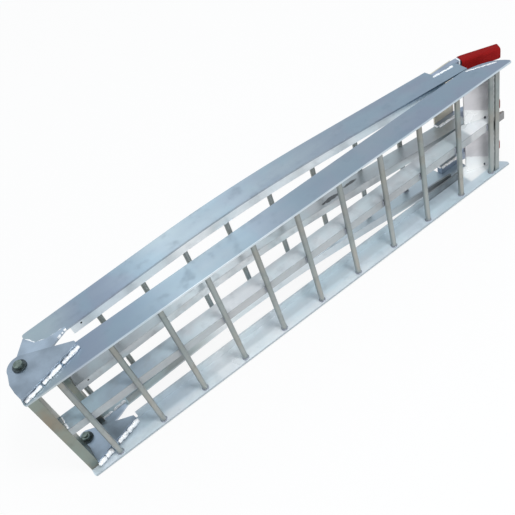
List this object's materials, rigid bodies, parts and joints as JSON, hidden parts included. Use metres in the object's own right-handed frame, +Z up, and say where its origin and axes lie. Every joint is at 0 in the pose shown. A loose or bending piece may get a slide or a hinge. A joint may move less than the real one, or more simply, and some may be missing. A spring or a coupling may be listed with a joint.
{
  "type": "folding aluminium loading ramp",
  "caption": "Narrow arched loading ramp of angle rails and round rungs that folds in half on two pivot bolts, with sleeved tongues for a tailgate.",
  "frame": {"origin": "middle of the bounding box's underside", "axes": "X along the rails, the hinge at low X and the tongues at high X; Y from the lower half's tread into the folded stack; +Z up across the ramp's width, the ramp lying on its side"},
  "size_m": [1.2074, 0.1668, 0.3092],
  "materials": {
    "rail_aluminium": "extruded aluminium, as drawn, handled",
    "rung_aluminium": "drawn aluminium bar",
    "plate_aluminium": "rolled aluminium plate",
    "steel": "zinc plated steel",
    "red_vinyl": "dipped red vinyl"
  },
  "bodies": {
    "lower_half": {"foot_plate_left": "plate_aluminium", "foot_plate_right": "plate_aluminium", "ground_end_bar": "rung_aluminium", "hinge_spacer_left": "steel", "lower_end_rung": "rung_aluminium", "lower_hinge_bar": "rail_aluminium", "lower_hinge_plate_left": "plate_aluminium", "lower_hinge_plate_right": "plate_aluminium", "lower_rail_left": "rail_aluminium", "lower_rail_middle": "rail_aluminium", "lower_rail_right": "rail_aluminium", "lower_rung_01": "rung_aluminium", "lower_rung_02": "rung_aluminium", "lower_rung_03": "rung_aluminium", "lower_rung_04": "rung_aluminium", "lower_rung_05": "rung_aluminium", "lower_rung_06": "rung_aluminium", "lower_rung_07": "rung_aluminium", "lower_rung_08": "rung_aluminium", "lower_rung_09": "rung_aluminium", "lower_rung_10": "rung_aluminium", "nut_washer_right": "steel", "pivot_bolt_left": "steel", "pivot_bolt_right": "steel", "pivot_nut_left": "steel", "pivot_nut_right": "steel", "pivot_washer_left": "steel", "pivot_washer_right": "steel"},
    "upper_half": {"tongue_cover_left": "red_vinyl", "tongue_cover_middle": "red_vinyl", "tongue_cover_right": "red_vinyl", "tongue_left": "rail_aluminium", "tongue_middle": "rail_aluminium", "tongue_right": "rail_aluminium", "upper_end_plate": "plate_aluminium", "upper_hinge_bar": "rail_aluminium", "upper_hinge_plate_left": "plate_aluminium", "upper_hinge_plate_right": "plate_aluminium", "upper_rail_left_crown": "rail_aluminium", "upper_rail_left_fall": "rail_aluminium", "upper_rail_left_heel": "rail_aluminium", "upper_rail_left_rise": "rail_aluminium", "upper_rail_middle_crown": "rail_aluminium", "upper_rail_middle_fall": "rail_aluminium", "upper_rail_middle_rise": "rail_aluminium", "upper_rail_right_crown": "rail_aluminium", "upper_rail_right_fall": "rail_aluminium", "upper_rail_right_heel": "rail_aluminium", "upper_rail_right_rise": "rail_aluminium", "upper_rung_01": "rung_aluminium", "upper_rung_02": "rung_aluminium", "upper_rung_03": "rung_aluminium", "upper_rung_04": "rung_aluminium", "upper_rung_05": "rung_aluminium", "upper_rung_06": "rung_aluminium", "upper_rung_07": "rung_aluminium", "upper_rung_08": "rung_aluminium", "upper_rung_09": "rung_aluminium"}
  },
  "joints": [
    {"name": "fold", "type": "hinge", "parent": "lower_half", "child": "upper_half", "pos_m": [-0.57367, -0.00742, 0], "axis": [0, 0, 1], "range_deg": [0, 180]}
  ]
}
